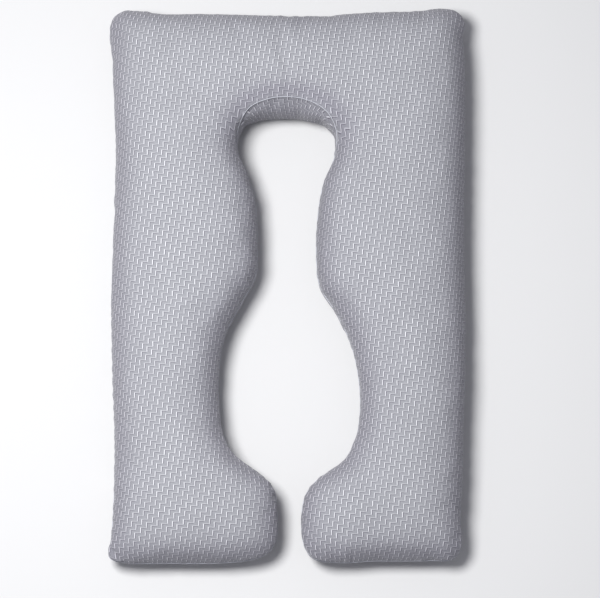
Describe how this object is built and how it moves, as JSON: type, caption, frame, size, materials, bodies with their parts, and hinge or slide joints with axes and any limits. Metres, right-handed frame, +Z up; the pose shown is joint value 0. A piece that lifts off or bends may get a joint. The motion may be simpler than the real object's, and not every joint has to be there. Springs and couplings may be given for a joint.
{
  "type": "nursing body pillow",
  "caption": "U-shaped body pillow with contoured arms, a neck notch and a belly opening, in a zipped knitted jacquard cover over a fibre-filled inner case.",
  "frame": {"origin": "middle of the pillow's footprint, on the plane it rests on", "axes": "+Z up through the thickness, +Y along the arms towards the head bar, +X towards the right arm"},
  "size_m": [0.9497, 1.5016, 0.19],
  "materials": {
    "cover_knit": "matte",
    "seam_thread": "matte",
    "zip_tape": "matte",
    "zip_coil": "satin",
    "zip_metal": "satin",
    "label_satin": "satin",
    "inner_case": "matte",
    "fibre": "matte"
  },
  "bodies": {
    "pillow": {"cover_top_panel": "cover_knit", "cover_bottom_panel": "cover_knit", "cover_seam": "seam_thread", "zip_tape_upper": "zip_tape", "zip_tape_lower": "zip_tape", "zip_coil_upper": "zip_coil", "zip_coil_lower": "zip_coil", "zip_top_stops": "zip_metal", "zip_bottom_stop": "zip_metal", "care_label": "label_satin", "inner_case_top": "inner_case", "inner_case_bottom": "inner_case", "inner_case_seam": "inner_case", "fibre_fill_head": "fibre", "fibre_fill_left_arm": "fibre", "fibre_fill_right_arm": "fibre"},
    "zip_slider_body": {"zip_slider": "zip_metal"},
    "zip_pull_body": {"zip_pull": "zip_metal"}
  },
  "joints": [
    {"name": "zip_slide", "type": "slide", "parent": "pillow", "child": "zip_slider_body", "axis": [0, -1, 0], "range_m": [0, 0.64]},
    {"name": "pull_swing", "type": "hinge", "parent": "zip_slider_body", "child": "zip_pull_body", "pos_m": [-0.4633, 0.622, 0.08], "axis": [0, 0, 1], "range_deg": [-155, 25]}
  ]
}
